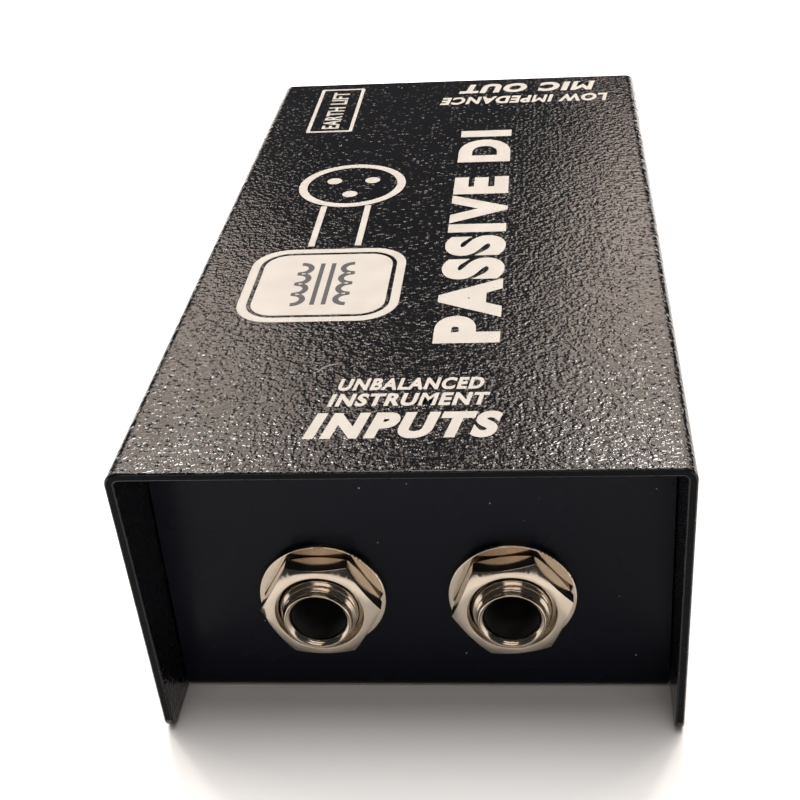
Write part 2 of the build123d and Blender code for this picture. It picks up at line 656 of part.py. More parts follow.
def make_transformer():
    """The isolating transformer: laminations, bobbin, winding, and the bracket that clamps it down."""
    window_w = (CORE_W - CORE_LEG) / 2 - CORE_YOKE
    window_h = CORE_H - 2 * CORE_YOKE
    bobbin_h = window_h - 2 * PART_GAP
    tube_w = CORE_LEG + 2 * PART_GAP
    tube_l = CORE_T + 2 * PART_GAP
    bobbin_bottom = CORE_MID - bobbin_h / 2

    with BuildPart() as core:
        with BuildSketch(Plane.XZ):
            with Locations((0, CORE_MID)):
                Rectangle(CORE_W, CORE_H)
                with GridLocations(CORE_LEG + window_w, 0, 2, 1):
                    Rectangle(window_w, window_h, mode=Mode.SUBTRACT)
        extrude(amount=CORE_T / 2, both=True)
    keep(core.part, "transformer_core")

    with BuildPart() as bobbin:
        with BuildSketch(Plane.XY.offset(bobbin_bottom)):
            Rectangle(tube_w + 2 * BOBBIN_WALL, tube_l + 2 * BOBBIN_WALL)
        extrude(amount=bobbin_h)
        for level in (bobbin_bottom, bobbin_bottom + bobbin_h - BOBBIN_FLANGE_T):
            with BuildSketch(Plane.XY.offset(level)):
                RectangleRounded(BOBBIN_FLANGE_W, BOBBIN_FLANGE_L, BOBBIN_FLANGE_T)
            extrude(amount=BOBBIN_FLANGE_T)
        with BuildSketch(Plane.XY.offset(bobbin_bottom)):
            Rectangle(tube_w, tube_l)
        extrude(amount=bobbin_h, mode=Mode.SUBTRACT)
    keep(bobbin.part, "transformer_bobbin")

    with BuildPart() as winding:
        with BuildSketch(Plane.XY.offset(bobbin_bottom + BOBBIN_FLANGE_T + PART_GAP)):
            RectangleRounded(COIL_W, COIL_L, COIL_R)
            Rectangle(
                tube_w + 2 * (BOBBIN_WALL + PART_GAP),
                tube_l + 2 * (BOBBIN_WALL + PART_GAP),
                mode=Mode.SUBTRACT,
            )
        extrude(amount=bobbin_h - 2 * (BOBBIN_FLANGE_T + PART_GAP))
    keep(winding.part, "transformer_winding")

    with BuildPart() as bracket:
        half = CORE_W / 2 + BRACKET_T
        with BuildSketch(Plane.XZ):
            with BuildLine():
                Polyline(
                    (-half - BRACKET_FOOT, TRAY_T),
                    (-half - BRACKET_FOOT, TRAY_T + BRACKET_T),
                    (-half, TRAY_T + BRACKET_T),
                    (-half, CORE_TOP + BRACKET_T),
                    (half, CORE_TOP + BRACKET_T),
                    (half, TRAY_T + BRACKET_T),
                    (half + BRACKET_FOOT, TRAY_T + BRACKET_T),
                    (half + BRACKET_FOOT, TRAY_T),
                    (CORE_W / 2, TRAY_T),
                    (CORE_W / 2, CORE_TOP),
                    (-CORE_W / 2, CORE_TOP),
                    (-CORE_W / 2, TRAY_T),
                    close=True,
                )
            make_face()
        extrude(amount=CORE_T / 2, both=True)
        with BuildSketch(Plane.XY.offset(TRAY_T)):
            with Locations((-STUD_X, 0), (STUD_X, 0)):
                Circle(STUD_R + THREAD_GAP)
        extrude(amount=BRACKET_T, mode=Mode.SUBTRACT)
    keep(bracket.part, "transformer_bracket")

    stud_planes = [Plane(origin=(x, 0, 0)) for x in (-STUD_X, STUD_X)]
    with BuildPart() as studs:
        for base in stud_planes:
            add(tube(base, STUD_HEAD_R, 0, 0, TRAY_T / 2))
            add(tube(base, STUD_R, 0, TRAY_T / 2, TRAY_T + STUD_L))
    keep(studs.part, "transformer_studs")

    with BuildPart() as nuts:
        for base in stud_planes:
            add(hex_nut(base.offset(TRAY_T + BRACKET_T), M3_NUT_FLATS, M3_NUT_T, STUD_R + THREAD_GAP))
    keep(nuts.part, "transformer_nuts")


def lead_radii(points):
    """The largest tangent arc at each corner of a lead: 0.45 of its shorter run, over tan(half turn)."""
    radii = []
    for before, corner, after in zip(points, points[1:], points[2:]):
        run_in = Vector(*corner) - Vector(*before)
        run_out = Vector(*after) - Vector(*corner)
        half_turn = math.radians(run_in.get_angle(run_out)) / 2
        radii.append(0.45 * min(run_in.length, run_out.length) / math.tan(half_turn))
    return radii


def make_lead(node, points):
    """One insulated hookup lead along its route, from face to face."""
    radii = lead_radii(points)
    with BuildPart() as lead:
        with BuildLine() as route:
            FilletPolyline(*points, radius=radii)
        path = route.wires()[0]
        with BuildSketch(Plane(origin=path @ 0, z_dir=path % 0)):
            Circle(LEAD_R)
        sweep()
    keep(lead.part, node)
    rod = math.pi * LEAD_R**2 * path.length
    print(f"{node}: length {path.length:.1f}, radii {[round(r, 1) for r in radii]}, "
          f"volume {lead.part.volume:.2f} of {rod:.2f}")


def make_leads():
    """All the hookup leads, each a route of hand-placed points between two terminals."""
    left = JACK_X["left"]
    right = JACK_X["right"]
    tab_front = STACK_POS_Y - STACK_R - TIP_TAB_L + LEAD_R + PART_GAP
    tab_back = tab_front + 2 * LEAD_R + 5 * PART_GAP
    lug_front = STACK_POS_Y - SLEEVE_TAB_W / 2 + LEAD_R + 2 * PART_GAP
    lug_back = STACK_POS_Y + SLEEVE_TAB_W / 2 - LEAD_R - 2 * PART_GAP
    link_x = right - STACK_R - LEAD_R - 10 * PART_GAP
    near_x = link_x - 4.0
    coil_face = COIL_L / 2
    pin_dx = PIN_CIRCLE_R * math.cos(math.radians(PIN_ANGLES[1]))
    pin_up = REAR_Z + PIN_CIRCLE_R * math.sin(math.radians(PIN_ANGLES[1]))
    pin_down = REAR_Z - PIN_CIRCLE_R
    make_lead("lead_tip_link", [
        (left, tab_front, TIP_LUG_TOP), (left, tab_front, 36.0),
        (right, tab_front, 36.0), (right, tab_front, TIP_LUG_TOP),
    ])
    make_lead("lead_sleeve_link", [
        (-link_x, lug_front, SLEEVE_LUG_TOP), (-link_x, lug_front, 33.0),
        (link_x, lug_front, 33.0), (link_x, lug_front, SLEEVE_LUG_TOP),
    ])
    make_lead("lead_primary_hot", [
        (right, tab_back, TIP_LUG_TOP), (right, tab_back, 35.5), (11.0, -30.0, 33.5),
        (5.0, -19.0, 17.5), (5.0, -coil_face, 17.5),
    ])
    make_lead("lead_primary_return", [
        (near_x, lug_back, SLEEVE_LUG_TOP), (near_x, lug_back, 33.5), (1.5, -28.0, 31.0),
        (-3.0, -19.0, 13.0), (-3.0, -coil_face, 13.0),
    ])
    make_lead("lead_ground_to_switch", [
        (-near_x, lug_back, SLEEVE_LUG_TOP), (-near_x, lug_back, 34.0), (-12.0, -29.0, 33.0),
        (-24.0, -10.0, 29.0), (-26.0, 10.0, 26.0), (SWITCH_X, 28.0, REAR_Z),
        (SWITCH_X, TERMINAL_END_Y, REAR_Z),
    ])
    make_lead("lead_switch_to_output", [
        (XLR_X - pin_dx, CUP_END_Y, pin_up), (XLR_X - pin_dx, 17.5, pin_up), (-6.0, 14.5, 29.5),
        (-17.0, 22.0, 23.0), (SWITCH_X, 30.5, REAR_Z - TERMINAL_PITCH),
        (SWITCH_X, TERMINAL_END_Y, REAR_Z - TERMINAL_PITCH),
    ])
    make_lead("lead_secondary_a", [
        (5.0, coil_face, 17.0), (5.0, 18.0, 17.0), (XLR_X + pin_dx, 20.0, pin_up),
        (XLR_X + pin_dx, CUP_END_Y, pin_up),
    ])
    make_lead("lead_secondary_b", [
        (-1.0, coil_face, 11.5), (-1.0, 18.0, 11.5), (XLR_X, 20.5, pin_down),
        (XLR_X, CUP_END_Y, pin_down),
    ])


make_cover()
make_tray()
make_cover_screws()
for jack_side in JACK_X:
    make_jack(jack_side)
make_output_connector()
make_switch()
make_transformer()
make_leads()
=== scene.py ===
"""Looks of a direct injection box: camera, studio, finishes, ink and detailed hardware on the CAD frame."""

import math

import bmesh
import bpy
from mathutils import Matrix, Vector


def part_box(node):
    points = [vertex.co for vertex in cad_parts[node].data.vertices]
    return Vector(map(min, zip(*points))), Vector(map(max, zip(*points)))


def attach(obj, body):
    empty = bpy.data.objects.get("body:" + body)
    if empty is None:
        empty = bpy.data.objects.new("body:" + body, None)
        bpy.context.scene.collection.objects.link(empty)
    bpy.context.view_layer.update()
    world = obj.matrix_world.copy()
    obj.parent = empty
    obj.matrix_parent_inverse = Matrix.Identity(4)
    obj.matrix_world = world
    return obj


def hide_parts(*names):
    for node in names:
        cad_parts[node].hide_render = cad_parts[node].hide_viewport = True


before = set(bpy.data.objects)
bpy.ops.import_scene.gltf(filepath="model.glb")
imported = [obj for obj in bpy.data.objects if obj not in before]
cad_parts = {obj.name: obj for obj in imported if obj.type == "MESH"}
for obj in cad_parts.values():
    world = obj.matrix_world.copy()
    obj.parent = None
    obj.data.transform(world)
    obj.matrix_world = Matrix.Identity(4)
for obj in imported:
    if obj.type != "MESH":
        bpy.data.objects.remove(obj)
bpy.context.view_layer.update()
MM = 0.001
BODY = "case"
SIDES = ("left", "right")

# places read from the frame
COVER_LOW, COVER_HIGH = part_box("top_cover")
TOP_Z = COVER_HIGH.z
FRONT_Y = COVER_LOW.y
PANEL_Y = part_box("base_chassis")[0].y
BUSH_TIP = PANEL_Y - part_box("jack_left_frame")[0].y


# ---------------------------------------------------------------- camera
CAMERA_PLACE = Vector((17.2, -183.1, 123.6)) * MM
CAMERA_DOWN = math.radians(31.43)
CAMERA_TURN = math.radians(5.82)
CAMERA_ROLL = math.radians(-3.88)
CAMERA_LENS = 63.0
CAMERA_SENSOR = 36
CAMERA_SHIFT = -0.045
CAMERA_NEAR = 10 * MM


def make_camera():
    """The camera above and in front of the jack end, looking down along the box."""
    data = bpy.data.cameras.new("camera")
    data.lens = CAMERA_LENS
    data.sensor_width = CAMERA_SENSOR
    data.shift_x = CAMERA_SHIFT
    data.clip_start = CAMERA_NEAR
    camera = bpy.data.objects.new("camera", data)
    aim = Matrix.Rotation(CAMERA_TURN, 4, "Z") @ Matrix.Rotation(math.pi / 2 - CAMERA_DOWN, 4, "X")
    camera.matrix_world = Matrix.Translation(CAMERA_PLACE) @ aim @ Matrix.Rotation(CAMERA_ROLL, 4, "Z")
    bpy.context.scene.collection.objects.link(camera)
    bpy.context.scene.camera = camera


# ---------------------------------------------------------------- studio
WARM = (1.0, 0.84, 0.73)
SOFT_WHITE = (1.0, 0.97, 0.94)
FLOOR_R = 3.0
FLOOR_STEP = 6
LIGHTS_AIM = Vector((0, 0, 20 * MM))
SUN_ELEVATION = 89
SUN_SPREAD = 26
SUN_STRENGTH = 2.3
AIR_COLOR = (0.9, 0.93, 1.0, 1)
AIR_STRENGTH = 0.05
BACKDROP_COLOR = (0.93, 0.93, 0.93, 1)

# name, distance, azimuth, elevation, width, height, watts, color
SOFTBOXES = (
    ("back_left", 0.9, -44, 38, 0.8, 0.40, 3.8, WARM),
    ("back_right", 0.9, 30, 36, 0.8, 0.44, 4.3, WARM),
    ("front_high", 0.8, 174, 58, 0.6, 0.1, 0.55, SOFT_WHITE),
    ("front_low", 0.8, 176, 33, 0.42, 0.27, 0.6, WARM),
)
EDGE_STRIP = ("edge_strip", 0.9, -8, 56, 0.6, 0.03, 0.7, SOFT_WHITE)
GLINT_AZIMUTHS = (-49, -28, 11, 32)
GLINT_ELEVATIONS = (48, 61)
GLINT_DISTANCE = 0.9
GLINT_SIZE = 0.08
GLINT_WATTS = 0.95


def polar(distance, azimuth, elevation):
    """A point that far from the origin; azimuth 0 is +Y and grows toward +X, in degrees."""
    around = math.radians(azimuth)
    up = math.radians(elevation)
    return Vector((math.sin(around) * math.cos(up), math.cos(around) * math.cos(up), math.sin(up))) * distance


def area_light(name, distance, azimuth, elevation, width, height, watts, color):
    """A rectangular softbox in a direction from the origin, facing the object."""
    data = bpy.data.lights.new(name, "AREA")
    data.shape = "RECTANGLE"
    data.size = width
    data.size_y = height
    data.energy = watts
    data.color = color
    light = bpy.data.objects.new(name, data)
    light.location = polar(distance, azimuth, elevation)
    light.rotation_euler = (LIGHTS_AIM - light.location).to_track_quat("-Z", "Y").to_euler()
    bpy.context.scene.collection.objects.link(light)


def overhead_sun():
    """An even light from a wide patch of sky straight above."""
    data = bpy.data.lights.new("overhead", "SUN")
    data.angle = math.radians(SUN_SPREAD)
    data.energy = SUN_STRENGTH
    data.color = SOFT_WHITE
    light = bpy.data.objects.new("overhead", data)
    light.rotation_euler = polar(1.0, 0, SUN_ELEVATION).to_track_quat("Z", "Y").to_euler()
    bpy.context.scene.collection.objects.link(light)


def make_floor():
    """A round white floor."""
    mesh = bpy.data.meshes.new("floor")
    rim = [polar(FLOOR_R, turn, 0) for turn in range(0, 360, FLOOR_STEP)]
    mesh.from_pydata(rim, [], [list(range(len(rim)))[::-1]])
    floor = bpy.data.objects.new("floor", mesh)
    bpy.context.scene.collection.objects.link(floor)
    mesh.materials.append(floor_paint())


def make_lights():
    """A sun overhead, warm boxes and small glints behind, fills in front and a strip for the edge."""
    overhead_sun()
    for box in SOFTBOXES:
        area_light(*box)
    for azimuth in GLINT_AZIMUTHS:
        for elevation in GLINT_ELEVATIONS:
            area_light(f"glint_{azimuth}_{elevation}", GLINT_DISTANCE, azimuth, elevation,
                       GLINT_SIZE, GLINT_SIZE, GLINT_WATTS, SOFT_WHITE)
    area_light(*EDGE_STRIP)


def make_world():
    """Faint bluish air that lights the scene, and a pale backdrop that only the camera sees."""
    world = bpy.data.worlds.new("studio")
    bpy.context.scene.world = world
    world.use_nodes = True
    nodes, links = world.node_tree.nodes, world.node_tree.links
    air = nodes["Background"]
    air.inputs["Color"].default_value = AIR_COLOR
    air.inputs["Strength"].default_value = AIR_STRENGTH
    backdrop = nodes.new("ShaderNodeBackground")
    backdrop.inputs["Color"].default_value = BACKDROP_COLOR
    chooser = nodes.new("ShaderNodeMixShader")
    links.new(nodes.new("ShaderNodeLightPath").outputs["Is Camera Ray"], chooser.inputs[0])
    links.new(air.outputs[0], chooser.inputs[1])
    links.new(backdrop.outputs[0], chooser.inputs[2])
    links.new(chooser.outputs[0], nodes["World Output"].inputs["Surface"])
    bpy.context.scene.view_settings.view_transform = "Standard"


# ---------------------------------------------------------------- finishes
NOISE_LOW = 0.3
NOISE_HIGH = 0.7
PEBBLE_REACH = 0.45
SPECK_RARITY = 0.5
SPECK_SIZE = 0.06
SMOOTH_DETAIL = 1.0

FLOOR_DARK = (0.88, 0.88, 0.88)
FLOOR_LIGHT = (0.92, 0.92, 0.92)
FLOOR_PATCH = 200 * MM

# each _GLOSS is the size of its patches, and the least and the most roughness among them
COAT_BLACK = (0.005, 0.005, 0.006)
COAT_SPECULAR = 0.28
COAT_GLOSS = (6 * MM, 0.07, 0.11)
COAT_WAVE = 0.65 * MM
COAT_WAVE_RISE = 0.1 * MM
COAT_PEBBLE = 0.7 * MM
COAT_PEBBLE_RISE = 0.09 * MM

EDGE_BLACK = (0.004, 0.004, 0.005)
EDGE_WAVE = 0.9 * MM
EDGE_WAVE_RISE = 0.012 * MM
EDGE_PATCH = 2 * MM
# index of refraction and roughness of the coat along the cover's corners and on its cut ends
EDGES = {"cover_rim": (2.4, 0.3), "cover_cut": (1.12, 0.3)}

ENAMEL_BLACK = (0.005, 0.006, 0.011)
ENAMEL_SPECULAR = 0.07
ENAMEL_GLOSS = (9 * MM, 0.2, 0.3)
ENAMEL_WAVE = 1.6 * MM
ENAMEL_WAVE_RISE = 0.006 * MM
DUST = (0.4, 0.38, 0.35)
DUST_SPACING = 1.9 * MM

NICKEL = (0.46, 0.395, 0.325)
NICKEL_GLOSS = (2.5 * MM, 0.1, 0.2)
NICKEL_GRAIN = 0.3 * MM
NICKEL_RISE = 0.004 * MM

INKS = {"cover_ink": (0.37, 0.345, 0.315), "scuff": (0.10, 0.09, 0.08), "dark_ink": (0.01, 0.01, 0.012)}
INK_GLOSS = (2 * MM, 0.42, 0.55)
INK_PATCH = 4 * MM
INK_PEBBLE = 0.75 * MM
INK_PEBBLE_RISE = 0.012 * MM

PLAIN_GRAIN = 0.5 * MM
PLAIN_RISE = 0.01 * MM
PLAIN_PATCH = 4 * MM
# color, roughness and metallic of the plain finishes
PLAIN = {
    # painted shade: the near-black sheet inside each jack's bore stands in for the shade there
    "lining": ((0.001, 0.001, 0.001), 0.9, 0.0),
    "black_screw": ((0.02, 0.02, 0.02), 0.35, 0.9),
    "tinned_brass": ((0.75, 0.73, 0.68), 0.3, 1.0),
    "phenolic": ((0.16, 0.07, 0.03), 0.5, 0.0),
    "black_nickel": ((0.08, 0.08, 0.085), 0.28, 1.0),
    "black_plastic": ((0.012, 0.012, 0.012), 0.45, 0.0),
    "gold_pin": ((0.9, 0.65, 0.25), 0.2, 1.0),
    "zinc_steel": ((0.62, 0.63, 0.65), 0.32, 1.0),
    "core_steel": ((0.25, 0.24, 0.23), 0.45, 1.0),
    "bobbin_nylon": ((0.75, 0.72, 0.62), 0.5, 0.0),
    "winding_tape": ((0.75, 0.5, 0.06), 0.3, 0.0),
    "lead_red": ((0.5, 0.02, 0.02), 0.4, 0.0),
    "lead_white": ((0.8, 0.8, 0.78), 0.4, 0.0),
    "lead_blue": ((0.02, 0.08, 0.4), 0.4, 0.0),
    "lead_black": ((0.015, 0.015, 0.015), 0.4, 0.0),
}


class Finish:
    """A node material being built: its Principled shader and the nodes that feed it."""

    def __init__(self, name, color, roughness, metallic=0.0):
        self.material = bpy.data.materials.new(name)
        self.material.use_nodes = True
        self.nodes = self.material.node_tree.nodes
        self.links = self.material.node_tree.links
        self.shader = self.nodes["Principled BSDF"]
        self.set(Metallic=metallic, Roughness=roughness)
        self.shader.inputs["Base Color"].default_value = (*color, 1)
        self.place = self.add("ShaderNodeTexCoord").outputs["Object"]

    def set(self, **values):
        """Constants on the shader's own sockets."""
        for socket, value in values.items():
            self.shader.inputs[socket.replace("_", " ")].default_value = value

    def add(self, kind, inputs=None, **settings):
        """One node, with its settings and its inputs, which are values or other nodes' outputs."""
        node = self.nodes.new(kind)
        for key, value in settings.items():
            setattr(node, key, value)
        for key, value in (inputs or {}).items():
            self.feed(node.inputs[key], value)
        return node

    def feed(self, socket, value):
        """Links an output to a socket, or sets the socket."""
        if isinstance(value, bpy.types.NodeSocket):
            self.links.new(value, socket)
        else:
            socket.default_value = value

    def noise(self, size, detail=2.0):
        """Noise with features about that size in metres, from 0 to 1."""
        inputs = {"Vector": self.place, "Scale": 1 / size, "Detail": detail}
        return self.add("ShaderNodeTexNoise", inputs).outputs["Fac"]

    def pebbles(self, spacing):
        """Small round bumps and pits about that far apart in metres, each of its own height, from -1 to 1."""
        cell = self.add("ShaderNodeTexVoronoi", {"Vector": self.place, "Scale": 1 / spacing})
        inputs = {"Value": cell.outputs["Distance"], "From Max": PEBBLE_REACH, "To Min": 1.0, "To Max": 0.0}
        dome = self.add("ShaderNodeMapRange", inputs, interpolation_type="SMOOTHSTEP")
        own = self.add("ShaderNodeSeparateColor", {"Color": cell.outputs["Color"]}).outputs["Red"]
        height = self.span(own, 0.0, 1.0, -1.0, 1.0)
        return self.combine("MULTIPLY", dome.outputs["Result"], height)

    def specks(self, spacing):
        """Fine dust: 1 within a few small dots that lie about that far apart in metres, 0 elsewhere."""
        cell = self.add("ShaderNodeTexVoronoi", {"Vector": self.place, "Scale": 1 / spacing})
        own = self.add("ShaderNodeSeparateColor", {"Color": cell.outputs["Color"]}).outputs["Red"]
        reach = self.span(own, SPECK_RARITY, 1.0, 0.0, SPECK_SIZE)
        return self.combine("LESS_THAN", cell.outputs["Distance"], reach)

    def ramp(self, value, low, high, dark, light):
        """A color that goes from dark to light as a value goes from low to high."""
        node = self.add("ShaderNodeValToRGB", {"Fac": value})
        for mark, position, color in zip(node.color_ramp.elements, (low, high), (dark, light)):
            mark.position = position
            mark.color = (*color, 1)
        return node.outputs["Color"]

    def span(self, value, low, high, floor, ceiling):
        """A value mapped from one range to another, held within it."""
        inputs = {"Value": value, "From Min": low, "From Max": high, "To Min": floor, "To Max": ceiling}
        return self.add("ShaderNodeMapRange", inputs).outputs["Result"]

    def drift(self, size, floor, ceiling):
        """A value that wanders between two others over patches about that size in metres."""
        return self.span(self.noise(size), NOISE_LOW, NOISE_HIGH, floor, ceiling)

    def blotches(self, size, dark, light):
        """A color that wanders between two others over patches about that size in metres."""
        return self.ramp(self.noise(size), NOISE_LOW, NOISE_HIGH, dark, light)

    def combine(self, operation, first, second):
        """Two values joined by an operation."""
        node = self.add("ShaderNodeMath", operation=operation)
        self.feed(node.inputs[0], first)
        self.feed(node.inputs[1], second)
        return node.outputs["Value"]

    def bump(self, height, rise, under=None):
        """A bump whose height of 1 is that rise in metres, over another bump if given."""
        inputs = {"Height": height, "Distance": rise, "Strength": 1.0}
        if under is not None:
            inputs["Normal"] = under
        return self.add("ShaderNodeBump", inputs).outputs["Normal"]

    def use(self, **outputs):
        """Feeds node outputs into the shader's sockets."""
        for socket, output in outputs.items():
            self.links.new(output, self.shader.inputs[socket.replace("_", " ")])
        return self.material


def dimmer(color, share):
    """A color at a share of its brightness."""
    return tuple(share * part for part in color)


def floor_paint():
    """Matt white floor with a trace of unevenness."""
    paint = Finish("studio_floor", FLOOR_LIGHT, roughness=0.8)
    return paint.use(Base_Color=paint.blotches(FLOOR_PATCH, FLOOR_DARK, FLOOR_LIGHT))


def wrinkle_black():
    """Pebbled black powder coat: a glossy skin with fine, rounded bumps and pits."""
    paint = Finish("wrinkle_black", COAT_BLACK, roughness=0.16)
    paint.set(Specular_IOR_Level=COAT_SPECULAR)
    waves = paint.bump(paint.noise(COAT_WAVE, detail=SMOOTH_DETAIL), COAT_WAVE_RISE)
    pebbled = paint.bump(paint.pebbles(COAT_PEBBLE), COAT_PEBBLE_RISE, under=waves)
    return paint.use(Normal=pebbled, Roughness=paint.drift(*COAT_GLOSS))


def cover_edge(name, density, roughness):
    """The coat where it runs thin over a cut edge, or builds up smooth and glossy along a corner."""
    paint = Finish(name, EDGE_BLACK, roughness)
    paint.set(IOR=density)
    normal = paint.bump(paint.noise(EDGE_WAVE, detail=SMOOTH_DETAIL), EDGE_WAVE_RISE)
    return paint.use(Normal=normal, Roughness=paint.drift(EDGE_PATCH, 0.8 * roughness, 1.3 * roughness))


def satin_black():
    """Smooth semi-gloss black enamel with a little orange peel and a few specks of dust."""
    paint = Finish("satin_black", ENAMEL_BLACK, roughness=0.25)
    paint.set(Specular_IOR_Level=ENAMEL_SPECULAR)
    tone = paint.ramp(paint.specks(DUST_SPACING), 0.0, 1.0, ENAMEL_BLACK, DUST)
    normal = paint.bump(paint.noise(ENAMEL_WAVE, detail=SMOOTH_DETAIL), ENAMEL_WAVE_RISE)
    return paint.use(Base_Color=tone, Normal=normal, Roughness=paint.drift(*ENAMEL_GLOSS))


def nickel():
    """Bright nickel plate with a faint grain."""
    plate = Finish("nickel", NICKEL, roughness=0.16, metallic=1.0)
    normal = plate.bump(plate.noise(NICKEL_GRAIN), NICKEL_RISE)
    return plate.use(Normal=normal, Roughness=plate.drift(*NICKEL_GLOSS))


def plain_finish(name, color, roughness, metallic):
    """A moulded, plated or painted surface: uneven color, uneven gloss and fine grain."""
    paint = Finish(name, color, roughness, metallic)
    tone = paint.blotches(PLAIN_PATCH, dimmer(color, 0.8), color)
    gloss = paint.drift(PLAIN_PATCH, 0.8 * roughness, 1.2 * roughness)
    normal = paint.bump(paint.noise(PLAIN_GRAIN), PLAIN_RISE)
    return paint.use(Base_Color=tone, Roughness=gloss, Normal=normal)


def ink(name, color):
    """Screen-printed ink: matt, a little uneven, lying over the pebbles of the coat."""
    paint = Finish(name, color, roughness=0.5)
    tone = paint.blotches(INK_PATCH, dimmer(color, 0.9), color)
    normal = paint.bump(paint.pebbles(INK_PEBBLE), INK_PEBBLE_RISE)
    return paint.use(Base_Color=tone, Normal=normal, Roughness=paint.drift(*INK_GLOSS))


def make_finishes():
    """Every material slot of the record, and the finishes of the new pieces, by name."""
    made = {"wrinkle_black": wrinkle_black(), "satin_black": satin_black(), "nickel": nickel()}
    for name, (density, roughness) in EDGES.items():
        made[name] = cover_edge(name, density, roughness)
    for name, color in INKS.items():
        made[name] = ink(name, color)
    for name, (color, roughness, metallic) in PLAIN.items():
        made[name] = plain_finish(name, color, roughness, metallic)
    return made


# ---------------------------------------------------------------- new pieces
def slot_name(material):
    """The record's name of a CAD material."""
    return material.name.split(".")[0]


def place_piece(name, mesh, finish, body=BODY):
    """Puts a mesh, already in the row frame, into the scene as a piece that rides on a body."""
    if not mesh.materials:
        mesh.materials.append(FINISHES[finish])
    piece = bpy.data.objects.new(name, mesh)
    bpy.context.scene.collection.objects.link(piece)
    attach(piece, body)
    return piece


def as_mesh(obj):
    """The finished mesh of an object, with its modifiers applied; the object goes."""
    graph = bpy.context.evaluated_depsgraph_get()
    mesh = bpy.data.meshes.new_from_object(obj.evaluated_get(graph))
    bpy.data.objects.remove(obj)
    return mesh


# ---------------------------------------------------------------- softened edges
NUT_EDGE = 0.1 * MM
CHASSIS_EDGE = 0.12 * MM
SLIDER_EDGE = 0.12 * MM
SHELL_EDGE = 0.15 * MM
COVER_EDGE = 0.3 * MM
SHARP = math.radians(35)
FLAT = math.radians(1)
WELD = 0.0005 * MM
END_FACING = 0.99
RIM_INDEX = 1
CUT_INDEX = 2


def soften(node, width, body=BODY, segments=3, clamp=True, rim=None, cut=None):
    """A piece that stands for a CAD node, with its sharp edges rounded to a width in metres.

    The rounded edges may have a finish of their own, the rim, and so may the faces at the two ends, the cut.
    """
    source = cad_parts[node]
    shape = bmesh.new()
    corners = [shape.verts.new(v.co) for v in source.data.vertices]
    for face in source.data.polygons:
        side = shape.faces.new([corners[i] for i in face.vertices])
        if cut and abs(face.normal.y) > END_FACING:
            side.material_index = CUT_INDEX
    bmesh.ops.remove_doubles(shape, verts=shape.verts, dist=WELD)
    bmesh.ops.dissolve_limit(shape, angle_limit=FLAT, verts=shape.verts, edges=shape.edges)
    mesh = bpy.data.meshes.new(node)
    shape.to_mesh(mesh)
    shape.free()
    rough = bpy.data.objects.new(node + "_rough", mesh)
    bpy.context.scene.collection.objects.link(rough)
    edge = rough.modifiers.new("edge", "BEVEL")
    edge.width = width
    edge.segments = segments
    edge.limit_method = "ANGLE"
    edge.angle_limit = SHARP
    edge.harden_normals = True
    edge.use_clamp_overlap = clamp
    if rim:
        edge.material = RIM_INDEX
    mesh.shade_smooth()
    slot = slot_name(source.data.materials[0])
    for finish in (slot, rim, cut):
        if finish:
            mesh.materials.append(FINISHES[finish])
    piece = place_piece(node + "_finished", as_mesh(rough), slot, body)
    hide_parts(node)


# ---------------------------------------------------------------- threaded bushing of a jack
WASHER_T = 0.8 * MM
BUSH_R = 4.7 * MM
THREAD_PITCH = 25.4 / 32 * MM
THREAD_DEPTH = 0.34 * MM
THREAD_END = 4.95 * MM
TAPER_START = 3.5 * MM
RUNOUT = 4
NOSE_R = 4.05 * MM
BORE_R = 3.25 * MM
LAND_R = 3.85 * MM
MOUTH_DEPTH = 0.6 * MM
MOUTH_SWELL = 0.06 * MM
LIP_R = 0.2 * MM
# the near-black sheet of painted shade inside each jack's bore
BORE_SHADE_GAP = 0.01 * MM
BORE_SHADE_T = 0.03 * MM
BORE_SHADE_END = -7 * MM
THREAD_STEPS = 72
LIP_STEPS = 8
TURN_STEPS = 120


def bushing_outline(turn):
    """Radius and distance from the panel of the bushing's skin at one angle, from washer to bore."""
    outline = []
    for i in range(THREAD_STEPS + 1):
        along = WASHER_T + (THREAD_END - WASHER_T) * i / THREAD_STEPS
        phase = (along / THREAD_PITCH - turn / math.tau) % 1
        taper = max(0.0, (along - TAPER_START) / (THREAD_END - TAPER_START))
        crest = BUSH_R + (NOSE_R - BUSH_R) * taper
        groove = THREAD_DEPTH * (1 - abs(2 * phase - 1)) * (1 - taper ** RUNOUT)
        outline.append((crest - groove, along))
    for i in range(LIP_STEPS + 1):
        bend = math.pi / 2 * i / LIP_STEPS
        outline.append((NOSE_R - LIP_R * (1 - math.cos(bend)), BUSH_TIP - LIP_R * (1 - math.sin(bend))))
    for i in range(LIP_STEPS + 1):
        share = i / LIP_STEPS
        swell = MOUTH_SWELL * math.sin(math.pi * share)
        outline.append((LAND_R - (LAND_R - BORE_R) * share - swell, BUSH_TIP - MOUTH_DEPTH * share + swell))
    outline.append((BORE_R, WASHER_T))
    return outline


def bore_shade_outline(turn):
    """Radius and distance from the panel of the thin near-black sheet inside the bore, painted shade laid
    over the plated bore, the same all round.
    """
    outside = BORE_R - BORE_SHADE_GAP
    inside = outside - BORE_SHADE_T
    mouth = THREAD_END - MOUTH_DEPTH
    return [(outside, BORE_SHADE_END), (outside, mouth), (inside, mouth), (inside, BORE_SHADE_END)]


